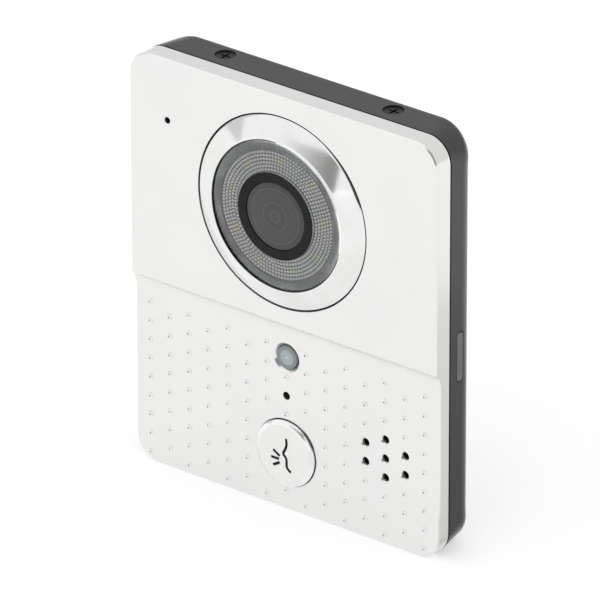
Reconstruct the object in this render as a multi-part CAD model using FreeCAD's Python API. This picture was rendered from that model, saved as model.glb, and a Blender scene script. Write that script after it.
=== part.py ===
import FreeCAD, Part
import math
import os

# Video door station, in millimetres. X points to the viewer's right and Z up.
# The wall is the plane y = 0, and "out" is the distance from it towards the viewer.
# The origin is the centre of the face that lies on the wall.

V = FreeCAD.Vector

# How far a cutting tool runs past a face that it opens
cut_through = 1.0

# Outline of the station, shared by the plate and the housing behind it
width = 100.0
upper_height = 65.0
lower_height = 55.0
corner_radius = 7.0

# Depths from the wall outwards
housing_depth = 11.0
gasket_thickness = 0.5
lower_plate_depth = 3.8
step_depth = 1.8
step_run = 3.2

# Walls
housing_wall = 2.0
gasket_inset = 0.8
plate_side_wall = 2.2
plate_face_wall = 2.0
edge_chamfer = 0.35

# The housing is rounded towards the wall, more at its sides than above and below, and its corners
# grow rounder from the plate to the wall
housing_rear_corner = 11.0
side_rounding = 6.0
end_rounding = 2.0
cavity_end_rounding = 0.6

# Dimples and holes of the lower face stand on one staggered grid
columns = 15
full_rows = 9
first_row_drop = 7.94
dimple_radius = 0.78
dimple_depth = 0.42
speaker_column = 12
speaker_row = 4.0
speaker_hole_radius = 1.1
speaker_hole_chamfer = 0.3
sensor_row = 0.5
button_row = 5.5
button_end_inset = 16.56

# Camera bezel and the clear window inside it
camera_drop = 33.0
bezel_radius = 27.1
bezel_gap = 0.4
bezel_edge_drop = 0.2
bezel_edge_chamfer = 0.55
bezel_rise = 2.5
bezel_bore = 21.1
bezel_rim_width = 0.6
bezel_ledge = 1.6
bezel_ledge_drop = 2.7
bezel_flange_radius = 29.4
bezel_flange = 1.6
bezel_seal_thickness = 0.5
bezel_seal_margin = 0.15
window_rise = 0.3
window_thickness = 1.0
window_shoulder_drop = 1.2
window_edge_width = 2.6
window_clearance = 0.1
window_seal_thickness = 0.5

# Illumination ring
led_ring_gap = 0.1
led_ring_thickness = 0.9
led_ring_skirt = 0.8
led_board_thickness = 1.0
led_board_clearance = 0.3
led_count = 9
led_circle = 15.6
led_size = 2.8
led_height = 0.8
led_first_angle = 8.0

# Lens and camera board
surround_radius = 12.05
surround_bore = 9.5
lens_clearance = 0.1
front_lens_edge = 0.6
front_lens_dome = 0.4
surround_over_lens = 0.2
barrel_mouth = 8.4
barrel_mouth_depth = 2.4
barrel_bore = 5.6
barrel_ledge = 1.0
thread_radius = 7.0
thread_length = 2.2
thread_clearance = 0.05
rear_lens_thickness = 1.5
rear_lens_depth = 4.0
holder_size = 18.0
holder_height = 3.6
camera_board_size = 36.0
camera_board_thickness = 1.2
camera_board_out = 4.0
image_sensor_size = 8.0
image_sensor_height = 0.9
image_sensor_pocket = 9.0
image_sensor_pocket_depth = 1.4

# Carrier that holds the camera behind the bezel
carrier_flange = 1.4
carrier_bore = 10.2
carrier_radius = 28.6
carrier_tube_bore = 21.6
carrier_tube_wall = 1.4
carrier_post_radius = 2.3
carrier_post_inset = 3.45
ear_radius = 3.2
ear_circle = 34.0
ear_angles = (15.0, 165.0, 195.0, 345.0)
bezel_screw_circle = 25.4
bezel_screw_angles = (90.0, 210.0, 330.0)

# Small screws with pan heads, and the bosses that they grip
small_screw_radius = 1.2
small_screw_head = 2.2
small_screw_head_height = 1.2
small_screw_grip = 2.2
small_slot_depth = 0.6
screw_hole_clearance = 0.1
pilot_clearance = 0.03
pilot_spare = 0.6
boss_radius = 2.6

# Countersunk case screws through the housing's top and bottom walls
case_screw_side_inset = 22.7
case_screw_out = 5.6
case_screw_radius = 1.5
case_screw_head = 2.75
case_screw_cone = 1.25
case_screw_sink = 0.4
case_screw_length = 8.5
case_screw_spare = 0.5
cross_slot_length = 3.2
cross_slot_width = 0.6
cross_slot_depth = 1.0
lug_width = 9.0
lug_height = 6.0
lug_floor_gap = 0.6
lug_wall_gap = 0.2

# Plug in the right side of the housing
plug_rise = 1.7
plug_height = 14.4
plug_width = 3.0
plug_out = 6.9
plug_corner = 1.3
plug_groove = 0.25
plug_lip = 1.0
plug_lip_thickness = 1.2

# Wall screw holes and cable entry in the housing's floor
wall_hole_radius = 2.25
wall_hole_side_inset = 12.0
wall_hole_end_inset = 14.0
cable_side_inset = 22.0
cable_z = -20.0
cable_radius = 3.0
grommet_radius = 6.0
grommet_lip = 1.6
grommet_lip_thickness = 1.0
grommet_recess = 0.6
grommet_recess_clearance = 0.4

# Window over the light sensor, and light pipe of the indicator
sensor_hole_radius = 3.45
sensor_hole_chamfer = 0.8
sensor_window_gap = 0.2
sensor_window_sink = 0.1
sensor_window_lip = 1.0
light_sensor_radius = 2.3
light_sensor_height = 2.6
indicator_hole_radius = 1.15
indicator_share = 0.6
indicator_gap = 0.1
indicator_sink = 0.3
indicator_lip = 0.8
indicator_led_height = 1.0
indicator_led_width = 1.1

# Microphone behind the upper left hole
mic_side_inset = 12.5
mic_drop = 17.5
mic_hole_radius = 0.95
mic_radius = 2.0
mic_height = 1.5
boot_wall = 1.0
boot_front = 0.8
boot_nose_gap = 0.05
boot_nose_sink = 0.4
boot_nose_bore = 0.5
collar_wall = 1.0
collar_depth = 3.4
collar_clearance = 0.1

# Speaker behind the seven holes
speaker_radius = 12.5
speaker_wall_gap = 1.75
speaker_rim = 1.9
speaker_rim_thickness = 0.8
speaker_ledge = 0.6
speaker_depth = 4.0
basket_radius = 7.4
basket_wall = 0.5
magnet_radius = 6.5
magnet_height = 2.5
cone_clearance = 0.1
cone_thickness = 0.3
cone_edge = 1.2
cone_middle = 3.7
speaker_mesh_thickness = 0.15
speaker_mesh_inset = 1.7
speaker_face_wall = 1.0
speaker_pocket_clearance = 0.05
speaker_gasket_thickness = 0.6
speaker_gasket_width = 3.0
clamp_wall = 2.8
clamp_rim_clearance = 1.5
clamp_thickness = 1.0
clamp_ear_gap = 0.5
clamp_ear_angles = (75.0, 285.0)

# Main board behind the lower face
board_side_gap = 1.8
board_guide_margin = 5.0
board_lug_gap = 0.5
board_above_step = 1.0
board_thickness = 1.6
board_out = 7.4
board_screw_inset = 2.9
shield_size = 18.0
shield_height = 2.2
shield_inset = 20.0
shield_drop = 16.0
radio_length = 18.0
radio_width = 11.0
radio_height = 2.0
radio_inset = 17.0
radio_rise = 9.0
capacitor_radius = 2.5
capacitor_height = 3.6
capacitor_drop = 3.7
capacitor_xs = (-9.5, -15.5)

# Terminal block on the back of the main board
terminal_ways = 4
terminal_pitch = 5.0
terminal_depth = 9.0
terminal_height = 5.0
terminal_inset = 18.0
terminal_rise = 14.3
terminal_screw_radius = 1.5
terminal_screw_clearance = 0.03
terminal_screw_sink = 0.3
terminal_screw_length = 3.0
terminal_slot_width = 0.6
terminal_slot_depth = 0.6
wire_hole_radius = 1.1
wire_hole_floor = 0.5

# Flat cable between camera board and main board
flex_width = 12.0
flex_thickness = 0.2
connector_width = 14.0
connector_depth = 3.5
connector_height = 1.2
connector_edge = 1.0

# Call button, shown at rest
button_radius = 9.5
button_gap = 0.25
button_rise = 1.2
button_bevel_width = 1.2
button_bevel_height = 0.6
button_flange_lip = 1.3
button_flange = 0.9
button_seal_thickness = 0.4
button_travel = 0.5
button_hollow_radius = 7.0
button_hollow_depth = 1.5
button_stem_radius = 2.4
guide_clearance = 0.3
guide_wall = 1.1
switch_size = 6.2
switch_height = 2.2
plunger_radius = 1.7
plunger_clearance = 0.05
plunger_pocket = 1.2
spring_radius = 5.6
spring_wire = 0.5
spring_turns = 2.5
spring_seat_gap = 0.02

# Places that follow from the sizes above: the case
height = upper_height + lower_height
step_z = lower_height - height / 2
plate_back = housing_depth + gasket_thickness
lower_face = plate_back + lower_plate_depth
upper_face = lower_face + step_depth
lower_inside = lower_face - plate_face_wall
upper_inside = upper_face - plate_face_wall
first_row_z = step_z - first_row_drop
plug_z = step_z + plug_rise
case_screw_x = width / 2 - case_screw_side_inset
cable_x = cable_side_inset - width / 2
wall_hole_x = width / 2 - wall_hole_side_inset
wall_hole_z = height / 2 - wall_hole_end_inset

# The camera
camera_z = height / 2 - camera_drop
bezel_rim = upper_face + bezel_rise
bezel_shelf = bezel_rim - bezel_ledge_drop
bezel_shelf_bore = bezel_bore - bezel_ledge
bezel_flange_front = upper_inside - bezel_seal_thickness
bezel_back = bezel_flange_front - bezel_flange
window_front = bezel_rim + window_rise
window_inside = window_front - window_thickness
window_radius = bezel_bore - window_clearance
window_pocket = window_radius - window_edge_width
window_back = bezel_shelf + window_seal_thickness
window_bore = surround_radius + window_clearance
carrier_back = bezel_back - carrier_flange
camera_board_front = camera_board_out + camera_board_thickness
carrier_post_place = camera_board_size / 2 - carrier_post_inset
led_board_front = bezel_back + led_board_thickness
led_board_radius = bezel_shelf_bore - window_clearance
led_ring_front = window_inside - led_ring_gap
led_ring_radius = window_pocket - window_clearance
barrel_front = window_front - surround_over_lens - front_lens_edge
barrel_shoulder = camera_board_front + holder_height + lens_clearance
barrel_back = barrel_shoulder - thread_length
rear_lens_seat = barrel_front - rear_lens_depth

# The lower half
board_front = board_out + board_thickness
clamp_radius = speaker_radius - clamp_rim_clearance + clamp_wall
speaker_x = width / 2 - plate_side_wall - speaker_wall_gap - clamp_radius
button_z = button_end_inset - height / 2
column_pitch = speaker_x / (speaker_column - columns // 2)
row_pitch = (first_row_z - button_z) / button_row
speaker_hole_reach = math.hypot(column_pitch, row_pitch)
button_front = lower_face + button_rise
button_flange_front = lower_inside - button_seal_thickness
button_flange_radius = button_radius + button_flange_lip
button_back = button_flange_front - button_flange
guide_bore = button_flange_radius + guide_clearance
guide_radius = guide_bore + guide_wall
sensor_z = first_row_z - sensor_row * row_pitch
sensor_lip = sensor_hole_radius + sensor_window_lip
sensor_lip_end = sensor_z - sensor_lip
indicator_z = sensor_lip_end + indicator_share * (button_z + guide_radius - sensor_lip_end)
speaker_z = first_row_z - speaker_row * row_pitch
speaker_front = lower_inside - speaker_gasket_thickness
speaker_pocket = lower_face - speaker_face_wall
speaker_mesh_radius = speaker_radius - speaker_mesh_inset
speaker_back = speaker_front - speaker_depth
speaker_rim_back = speaker_front - speaker_rim_thickness
clamp_front = speaker_rim_back
clamp_back = clamp_front - clamp_thickness
clamp_ear_circle = speaker_radius + clamp_ear_gap + boss_radius
mic_x = mic_side_inset - width / 2
mic_z = height / 2 - mic_drop
mic_front = upper_inside - boot_front
board_left = board_side_gap + plate_side_wall - width / 2
board_right = guide_radius + board_guide_margin
board_top = step_z + board_above_step
shield_x = board_left + shield_inset
radio_x = board_left + radio_inset
terminal_x = board_left + terminal_inset
board_bottom = board_lug_gap + lug_height + plate_side_wall - height / 2
screw_reach = carrier_flange + small_screw_grip - pilot_spare


def block(left, right, bottom, top, near, far):
    """Box between two distances from the wall."""
    return Part.makeBox(right - left, far - near, top - bottom, V(left, -far, bottom))


def square(size, x, z, near, far):
    return block(x - size / 2, x + size / 2, z - size / 2, z + size / 2, near, far)


def disc(radius, near, far, x=0.0, z=0.0):
    """Cylinder that stands out from the wall, from near to far."""
    return Part.makeCylinder(radius, far - near, V(x, -near, z), V(0, -1, 0))


def ring(outer, inner, near, far, x=0.0, z=0.0):
    return disc(outer, near, far, x, z).cut(disc(inner, near, far, x, z))


def sink(radius, chamfer, face, x, z):
    """Cone that bevels the mouth of a hole in a face."""
    return Part.makeCone(radius, radius + chamfer, chamfer, V(x, chamfer - face, z), V(0, -1, 0))


def turned(profile, x=0.0, z=0.0):
    """Solid of revolution. A row of two is a corner (radius, out), a row of four an arc
    through its first point to its second."""
    edges = []
    here = V(x + profile[0][0], -profile[0][1], z)
    for row in profile[1:] + profile[:1]:
        there = V(x + row[-2], -row[-1], z)
        if len(row) == 4:
            edges.append(Part.Arc(here, V(x + row[0], -row[1], z), there).toShape())
        else:
            edges.append(Part.makeLine(here, there))
        here = there
    return Part.Face(Part.Wire(edges)).revolve(V(x, 0, z), V(0, 1, 0), 360)


def arc_over(run, rise):
    """Half-way point of an arc that leaves level and rises over a run."""
    radius = (run ** 2 + rise ** 2) / (2 * rise)
    half_turn = math.asin(run / radius) / 2
    return radius * math.sin(half_turn), radius * (1 - math.cos(half_turn))


def rounded_wire(wide, high, radius, out):
    """Rectangle with round corners, parallel to the wall."""
    across = wide / 2 - radius
    up = high / 2 - radius
    bow = radius * math.sqrt(0.5)
    edges = []
    for side in (-1, 1):
        for end in (-1, 1):
            centre = V(side * across, -out, end * up)
            edges.append(Part.Arc(centre + V(side * radius, 0, 0),
                                  centre + V(side * bow, 0, end * bow),
                                  centre + V(0, 0, end * radius)).toShape())
        edges.append(Part.makeLine(V(side * wide / 2, -out, -up), V(side * wide / 2, -out, up)))
        edges.append(Part.makeLine(V(-across, -out, side * high / 2), V(across, -out, side * high / 2)))
    return Part.Wire(Part.__sortEdges__(edges))


def slab(wide, high, radius, near, far):
    """Prism with round corners, between two distances from the wall."""
    return Part.Face(rounded_wire(wide, high, radius, near)).extrude(V(0, near - far, 0))


def bevelled_slab(wide, high, radius, near, far, chamfer):
    """Slab whose front edge is bevelled."""
    front = Part.makeLoft([
        rounded_wire(wide, high, radius, far - chamfer),
        rounded_wire(wide - 2 * chamfer, high - 2 * chamfer, radius - chamfer, far),
    ], True, True)
    return slab(wide, high, radius, near, far - chamfer).fuse(front)


def merged(solids):
    return solids[0].fuse(solids[1:]).removeSplitter()


def around(circle, angles, x, z):
    """Places on a circle about a centre."""
    return [(x + circle * math.cos(math.radians(angle)), z + circle * math.sin(math.radians(angle)))
            for angle in angles]


def ear_places():
    return around(ear_circle, ear_angles, 0, camera_z)


def bezel_screw_places():
    return around(bezel_screw_circle, bezel_screw_angles, 0, camera_z)


def clamp_ear_places():
    return around(clamp_ear_circle, clamp_ear_angles, speaker_x, speaker_z)


def post_places():
    return [(x, camera_z + z) for x in (-carrier_post_place, carrier_post_place)
            for z in (-carrier_post_place, carrier_post_place)]


def board_screw_places():
    return [(x, z) for x in (board_left + board_screw_inset, board_right - board_screw_inset)
            for z in (board_top - board_screw_inset, board_bottom + board_screw_inset)]


def case_screw_places():
    """Place along the width, and 1 above or -1 below."""
    return [(x, end) for x in (-case_screw_x, case_screw_x) for end in (-1, 1)]


def grid_places():
    """Every place of the lower face's grid. Odd columns stand half a row lower."""
    return [((column - columns // 2) * column_pitch, first_row_z - (row + 0.5 * (column % 2)) * row_pitch)
            for column in range(columns) for row in range(full_rows - column % 2)]


def speaker_holes():
    """The seven grid places of the speaker's hexagon."""
    return [(x, z) for x, z in grid_places()
            if math.hypot(x - speaker_x, z - speaker_z) <= speaker_hole_reach]


def dimple_places():
    """Grid places that no hole, window or button takes."""
    taken = [(x, z, speaker_hole_radius + speaker_hole_chamfer) for x, z in speaker_holes()]
    taken.append((0.0, sensor_z, sensor_hole_radius + sensor_hole_chamfer))
    taken.append((0.0, indicator_z, indicator_hole_radius))
    taken.append((0.0, button_z, button_radius + button_gap))
    return [(x, z) for x, z in grid_places()
            if min(math.hypot(x - at_x, z - at_z) - radius for at_x, at_z, radius in taken) > dimple_radius]


def cross_slot(x, z, near, far):
    """The two crossing slots of a screw head."""
    long = cross_slot_length / 2
    short = cross_slot_width / 2
    level = block(x - long, x + long, z - short, z + short, near, far)
    return level.fuse(block(x - short, x + short, z - long, z + long, near, far))


def pan_screw(x, z, seat):
    """Screw driven away from the wall, the front of its head at seat."""
    back = seat - small_screw_head_height
    head = disc(small_screw_head, back, seat, x, z)
    shank = disc(small_screw_radius, seat, seat + screw_reach, x, z)
    return merged([head, shank]).cut(cross_slot(x, z, back, back + small_slot_depth))


def pilot_holes(places, mouth):
    """Blind holes that small screws grip, open towards the wall at mouth."""
    return [disc(small_screw_radius + pilot_clearance, mouth, mouth + small_screw_grip, x, z)
            for x, z in places]


def screw_holes(places, near, far):
    """Clearance holes for small screws."""
    return [disc(small_screw_radius + screw_hole_clearance, near, far, x, z) for x, z in places]


def plate_form():
    """Thin lower half and thick upper half, with a hollow fillet at the step's foot."""
    lower = bevelled_slab(width, height, corner_radius, plate_back, lower_face, edge_chamfer)
    upper = bevelled_slab(width, height, corner_radius, plate_back, upper_face, edge_chamfer)
    side = -width / 2
    foot = step_z - step_run
    bow_run, bow_rise = arc_over(step_run, step_depth)
    back_top = V(side, -plate_back, height / 2)
    front_top = V(side, -upper_face, height / 2)
    edge = V(side, -upper_face, step_z)
    front_foot = V(side, -lower_face, foot)
    back_foot = V(side, -plate_back, foot)
    hollow = Part.Arc(edge, V(side, -lower_face - bow_rise, foot + bow_run), front_foot)
    outline = Part.Wire([Part.makeLine(back_top, front_top), Part.makeLine(front_top, edge),
                         hollow.toShape(), Part.makeLine(front_foot, back_foot),
                         Part.makeLine(back_foot, back_top)])
    return lower.fuse(upper.common(Part.Face(outline).extrude(V(width, 0, 0))))


def plate_hollow():
    """Space behind the plate's face, deeper in the upper half."""
    wide = width - 2 * plate_side_wall
    high = height - 2 * plate_side_wall
    radius = corner_radius - plate_side_wall
    upper = slab(wide, high, radius, plate_back, upper_inside)
    keep = block(-width / 2, width / 2, step_z + plate_face_wall, height / 2, plate_back, upper_inside)
    return slab(wide, high, radius, plate_back, lower_inside).fuse(upper.common(keep))


def front_plate():
    """Cast metal cover with all that stands behind its face."""
    plate = plate_form().cut(plate_hollow())

    # Lugs for the case screws; bosses for the carrier, the clamp and the board; microphone collar
    lug_end = height / 2 - housing_wall - lug_wall_gap
    solids = []
    for x, end in case_screw_places():
        face = upper_inside if end > 0 else lower_inside
        low, high = sorted((end * lug_end, end * (lug_end - lug_height)))
        solids.append(block(x - lug_width / 2, x + lug_width / 2, low, high,
                            housing_wall + lug_floor_gap, face))
    solids += [disc(boss_radius, bezel_back, upper_inside, x, z) for x, z in ear_places()]
    solids += [disc(boss_radius, clamp_front, lower_inside, x, z) for x, z in clamp_ear_places()]
    solids += [disc(boss_radius, board_front, lower_inside, x, z) for x, z in board_screw_places()]
    collar_bore = mic_radius + boot_wall + collar_clearance
    solids.append(ring(collar_bore + collar_wall, collar_bore, upper_inside - collar_depth,
                       upper_inside, mic_x, mic_z))
    plate = plate.fuse(solids)

    # The lugs' holes run up and down, the others stand out from the wall
    cuts = []
    for x, end in case_screw_places():
        cuts.append(Part.makeCylinder(case_screw_radius + pilot_clearance,
                                      case_screw_sink + case_screw_length + case_screw_spare,
                                      V(x, -case_screw_out, end * height / 2), V(0, 0, -end)))
    cuts += pilot_holes(ear_places(), bezel_back)
    cuts += pilot_holes(clamp_ear_places(), clamp_front)
    cuts += pilot_holes(board_screw_places(), board_front)
    cuts.append(disc(bezel_radius + bezel_gap, plate_back, upper_face + cut_through, 0, camera_z))
    cuts.append(disc(mic_hole_radius, mic_front, upper_face + cut_through, mic_x, mic_z))
    cuts.append(disc(sensor_hole_radius, plate_back, lower_face, 0, sensor_z))
    cuts.append(sink(sensor_hole_radius, sensor_hole_chamfer, lower_face, 0, sensor_z))
    cuts.append(disc(indicator_hole_radius, plate_back, lower_face, 0, indicator_z))
    cuts.append(disc(button_radius + button_gap, plate_back, lower_face, 0, button_z))
    cuts.append(disc(speaker_mesh_radius + speaker_pocket_clearance, lower_inside, speaker_pocket,
                     speaker_x, speaker_z))
    for x, z in speaker_holes():
        cuts.append(disc(speaker_hole_radius, plate_back, lower_face, x, z))
        cuts.append(sink(speaker_hole_radius, speaker_hole_chamfer, lower_face, x, z))
    plate = plate.cut(cuts)

    # Each dimple is a shallow cap of a ball
    ball = (dimple_radius ** 2 + dimple_depth ** 2) / (2 * dimple_depth)
    centre = lower_face - dimple_depth + ball
    return plate.cut([Part.makeSphere(ball, V(x, -centre, z)) for x, z in dimple_places()])


def rounded_form(margin, side_radius, end_radius):
    """The housing's outline drawn in by a margin, its back edges rounded."""
    wide = width - 2 * margin
    high = height - 2 * margin
    body = Part.makeLoft([rounded_wire(wide, high, corner_radius - margin, housing_depth),
                          rounded_wire(wide, high, housing_rear_corner - margin, margin)], True, True)
    document = FreeCAD.newDocument()
    base = document.addObject("Part::Feature", "base")
    base.Shape = body
    rounded = document.addObject("Part::Fillet", "rounded")
    rounded.Base = base
    rows = []
    for number, edge in enumerate(body.Edges, 1):
        if edge.BoundBox.YMin < -(margin + housing_depth) / 2:
            continue
        radii = []
        for point in (edge.valueAt(edge.FirstParameter), edge.valueAt(edge.LastParameter)):
            on_side = abs(point.z) < (height - corner_radius) / 2
            radii.append(side_radius if on_side else end_radius)
        rows.append((number, radii[0], radii[1]))
    rounded.Edges = rows
    document.recompute()
    solid = rounded.Shape.Solids[0].copy()
    FreeCAD.closeDocument(document.Name)
    return solid


def housing_form():
    return rounded_form(0.0, side_rounding, end_rounding)


def housing_cavity():
    return rounded_form(housing_wall, side_rounding - housing_wall, cavity_end_rounding)


def plug_prism(grow, inner_x):
    """The plug's slot, grown by a margin, from inner_x to beyond the side."""
    high = plug_height + 2 * grow
    wide = plug_width + 2 * grow
    box = Part.makeBox(width / 2 + cut_through - inner_x, wide, high,
                       V(inner_x, -plug_out - wide / 2, plug_z - high / 2))
    along = [edge for edge in box.Edges
             if edge.BoundBox.XLength > edge.BoundBox.YLength + edge.BoundBox.ZLength]
    return box.makeFillet(plug_corner + grow, along)


def screw_sink(x, end):
    """Countersunk hole through the housing's top or bottom wall."""
    axis = V(0, 0, -end)
    start = V(x, -case_screw_out, end * height / 2)
    head = case_screw_head + screw_hole_clearance
    hole = case_screw_radius + screw_hole_clearance
    return [Part.makeCylinder(head, case_screw_sink, start, axis),
            Part.makeCone(head, hole, case_screw_cone, start + axis * case_screw_sink, axis),
            Part.makeCylinder(hole, housing_wall + cut_through, start, axis)]


def rear_housing():
    """Moulded shell that is screwed to the wall and takes the front unit."""
    cuts = [housing_cavity()]
    for x, end in case_screw_places():
        cuts += screw_sink(x, end)
    for x in (-wall_hole_x, wall_hole_x):
        for z in (-wall_hole_z, wall_hole_z):
            cuts.append(disc(wall_hole_radius, 0, housing_wall, x, z))
    recess = grommet_radius + grommet_lip + grommet_recess_clearance
    cuts.append(disc(grommet_radius, 0, housing_wall, cable_x, cable_z))
    cuts.append(disc(recess, 0, grommet_recess, cable_x, cable_z))
    cuts.append(plug_prism(0.0, width / 2 - housing_wall - cut_through))
    return housing_form().cut(cuts)


def case_gasket():
    """Flat rubber ring between the housing's rim and the plate."""
    outer = slab(width - 2 * gasket_inset, height - 2 * gasket_inset, corner_radius - gasket_inset,
                 housing_depth, plate_back)
    return outer.cut(slab(width - 2 * housing_wall, height - 2 * housing_wall,
                          corner_radius - housing_wall, housing_depth, plate_back))


def case_screws():
    """Countersunk cross-head screws, two above and two below."""
    screws = []
    for x, end in case_screw_places():
        axis = V(0, 0, -end)
        top = V(x, -case_screw_out, end * (height / 2 - case_screw_sink))
        screw = merged([Part.makeCone(case_screw_head, case_screw_radius, case_screw_cone, top, axis),
                        Part.makeCylinder(case_screw_radius, case_screw_length, top, axis)])
        low = min(top.z, top.z - end * cross_slot_depth)
        for wide, deep in ((cross_slot_length, cross_slot_width), (cross_slot_width, cross_slot_length)):
            corner = V(x - wide / 2, -case_screw_out - deep / 2, low)
            screw = screw.cut(Part.makeBox(wide, deep, cross_slot_depth, corner))
        screws.append(screw)
    return screws


def side_plug():
    """Rubber plug that follows the housing's side, held by a lip behind the wall."""
    inner = width / 2 - housing_wall - plug_lip_thickness
    body = housing_form().common(plug_prism(-plug_groove, inner))
    lip = housing_cavity().common(plug_prism(plug_lip, inner))
    return merged([body, lip])


def cable_grommet():
    """Rubber grommet, gripped in the floor by its two lips."""
    lip = grommet_radius + grommet_lip
    front = housing_wall + grommet_lip_thickness
    return turned([(cable_radius, 0), (lip, 0), (lip, grommet_recess), (grommet_radius, grommet_recess),
                   (grommet_radius, housing_wall), (lip, housing_wall), (lip, front),
                   (cable_radius, front)], cable_x, cable_z)


def camera_bezel():
    """Turned and polished ring with a cone that rises to its inner rim."""
    edge = upper_face - bezel_edge_drop
    body = turned([(bezel_shelf_bore, bezel_back), (bezel_flange_radius, bezel_back),
                   (bezel_flange_radius, bezel_flange_front), (bezel_radius, bezel_flange_front),
                   (bezel_radius, edge), (bezel_radius - bezel_edge_chamfer, edge + bezel_edge_chamfer),
                   (bezel_bore + bezel_rim_width, bezel_rim), (bezel_bore, bezel_rim),
                   (bezel_bore, bezel_shelf), (bezel_shelf_bore, bezel_shelf)], 0, camera_z)
    return body.cut(pilot_holes(bezel_screw_places(), bezel_back))


def bezel_seal():
    """Flat ring between the bezel's flange and the plate."""
    return ring(bezel_flange_radius - bezel_seal_margin, bezel_radius + bezel_gap + bezel_seal_margin,
                bezel_flange_front, upper_inside, 0, camera_z)


def window_seal():
    """Flat ring under the window's thick edge."""
    return ring(window_radius, window_pocket, bezel_shelf, window_back, 0, camera_z)


def camera_window():
    """Clear moulded ring with a thick edge and a round shoulder."""
    bow_run, bow_drop = arc_over(window_edge_width, window_shoulder_drop)
    return turned([(window_bore, window_inside), (window_bore, window_front),
                   (window_pocket, window_front),
                   (window_pocket + bow_run, window_front - bow_drop,
                    window_radius, window_front - window_shoulder_drop),
                   (window_radius, window_back), (window_pocket, window_back),
                   (window_pocket, window_inside)], 0, camera_z)


def led_lens_ring():
    """Clear moulding over the chips, standing on their board by its skirt."""
    back = led_ring_front - led_ring_thickness
    skirt = led_ring_radius - led_ring_skirt
    return turned([(window_bore, back), (window_bore, led_ring_front), (led_ring_radius, led_ring_front),
                   (led_ring_radius, led_board_front), (skirt, led_board_front), (skirt, back)],
                  0, camera_z)


def led_board():
    return ring(led_board_radius, surround_radius + led_board_clearance, bezel_back, led_board_front,
                0, camera_z)


def illumination_leds():
    chips = []
    for number in range(led_count):
        chip = square(led_size, led_circle, 0, led_board_front, led_board_front + led_height)
        chip.rotate(V(0, 0, 0), V(0, -1, 0), led_first_angle + 360.0 * number / led_count)
        chip.translate(V(0, 0, camera_z))
        chips.append(chip)
    return chips


def lens_surround():
    """Flat black tube round the lens, its front level with the window's."""
    return ring(surround_radius, surround_bore, bezel_back, window_front, 0, camera_z)


def front_lens():
    """Front element whose face is a shallow cap of a ball."""
    radius = surround_bore - 2 * lens_clearance
    crown = barrel_front + front_lens_edge + front_lens_dome
    ball = (radius ** 2 + front_lens_dome ** 2) / (2 * front_lens_dome)
    blank = disc(radius, barrel_front, crown + cut_through, 0, camera_z)
    return blank.common(Part.makeSphere(ball, V(0, ball - crown, camera_z)))


def lens_barrel():
    """Black barrel with a wide mouth, threaded into its holder."""
    outer = surround_bore - lens_clearance
    stop = barrel_bore - barrel_ledge
    return turned([(stop, barrel_back), (thread_radius, barrel_back), (thread_radius, barrel_shoulder),
                   (outer, barrel_shoulder), (outer, barrel_front), (barrel_mouth, barrel_front),
                   (barrel_bore, barrel_front - barrel_mouth_depth), (barrel_bore, rear_lens_seat),
                   (stop, rear_lens_seat)], 0, camera_z)


def rear_lens():
    """Inner element on the barrel's ledge."""
    return disc(barrel_bore - thread_clearance, rear_lens_seat, rear_lens_seat + rear_lens_thickness,
                0, camera_z)


def lens_holder():
    """Square holder over the image sensor, threaded for the barrel."""
    front = camera_board_front + holder_height
    pocket_front = camera_board_front + image_sensor_pocket_depth
    body = square(holder_size, 0, camera_z, camera_board_front, front)
    return body.cut([square(image_sensor_pocket, 0, camera_z, camera_board_front, pocket_front),
                     disc(thread_radius + thread_clearance, pocket_front, front, 0, camera_z)])


def image_sensor():
    return square(image_sensor_size, 0, camera_z, camera_board_front,
                  camera_board_front + image_sensor_height)


def camera_board():
    board = square(camera_board_size, 0, camera_z, camera_board_out, camera_board_front)
    return board.cut(screw_holes(post_places(), camera_board_out, camera_board_front))


def camera_carrier():
    """Moulded cup behind the bezel: flange with ears, tube and four posts."""
    solids = [disc(carrier_radius, carrier_back, bezel_back, 0, camera_z),
              ring(carrier_tube_bore + carrier_tube_wall, carrier_tube_bore, camera_board_front,
                   carrier_back, 0, camera_z)]
    solids += [disc(carrier_post_radius, camera_board_front, carrier_back, x, z)
               for x, z in post_places()]
    for angle, (x, z) in zip(ear_angles, ear_places()):
        arm = block(0, ear_circle, -ear_radius, ear_radius, carrier_back, bezel_back)
        arm.rotate(V(0, 0, 0), V(0, -1, 0), angle)
        arm.translate(V(0, 0, camera_z))
        solids += [arm, disc(ear_radius, carrier_back, bezel_back, x, z)]
    cuts = [disc(carrier_bore, carrier_back, bezel_back, 0, camera_z)]
    cuts += screw_holes(ear_places() + bezel_screw_places(), carrier_back, bezel_back)
    cuts += pilot_holes(post_places(), camera_board_front)
    return merged(solids).cut(cuts)


def carrier_screws():
    return [pan_screw(x, z, carrier_back) for x, z in ear_places() + bezel_screw_places()]


def camera_board_screws():
    return [pan_screw(x, z, camera_board_out) for x, z in post_places()]


def sensor_window():
    """Grey window in its bevelled hole, glued behind the face by its lip."""
    radius = sensor_hole_radius - sensor_window_gap
    front = lower_face - sensor_window_sink
    back = lower_inside - sensor_window_lip
    return turned([(0, back), (sensor_lip, back), (sensor_lip, lower_inside),
                   (radius, lower_inside), (radius, front), (0, front)], 0, sensor_z)


def light_sensor():
    return disc(light_sensor_radius, board_front, board_front + light_sensor_height, 0, sensor_z)


def indicator_lens():
    """Light pipe from the board's indicator to the small hole."""
    radius = indicator_hole_radius - indicator_gap
    lip = indicator_hole_radius + indicator_lip
    back = board_front + indicator_led_height + indicator_gap
    front = lower_face - indicator_sink
    lip_back = lower_inside - indicator_lip
    return turned([(0, back), (radius, back), (radius, lip_back), (lip, lip_back),
                   (lip, lower_inside), (radius, lower_inside), (radius, front), (0, front)],
                  0, indicator_z)


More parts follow.
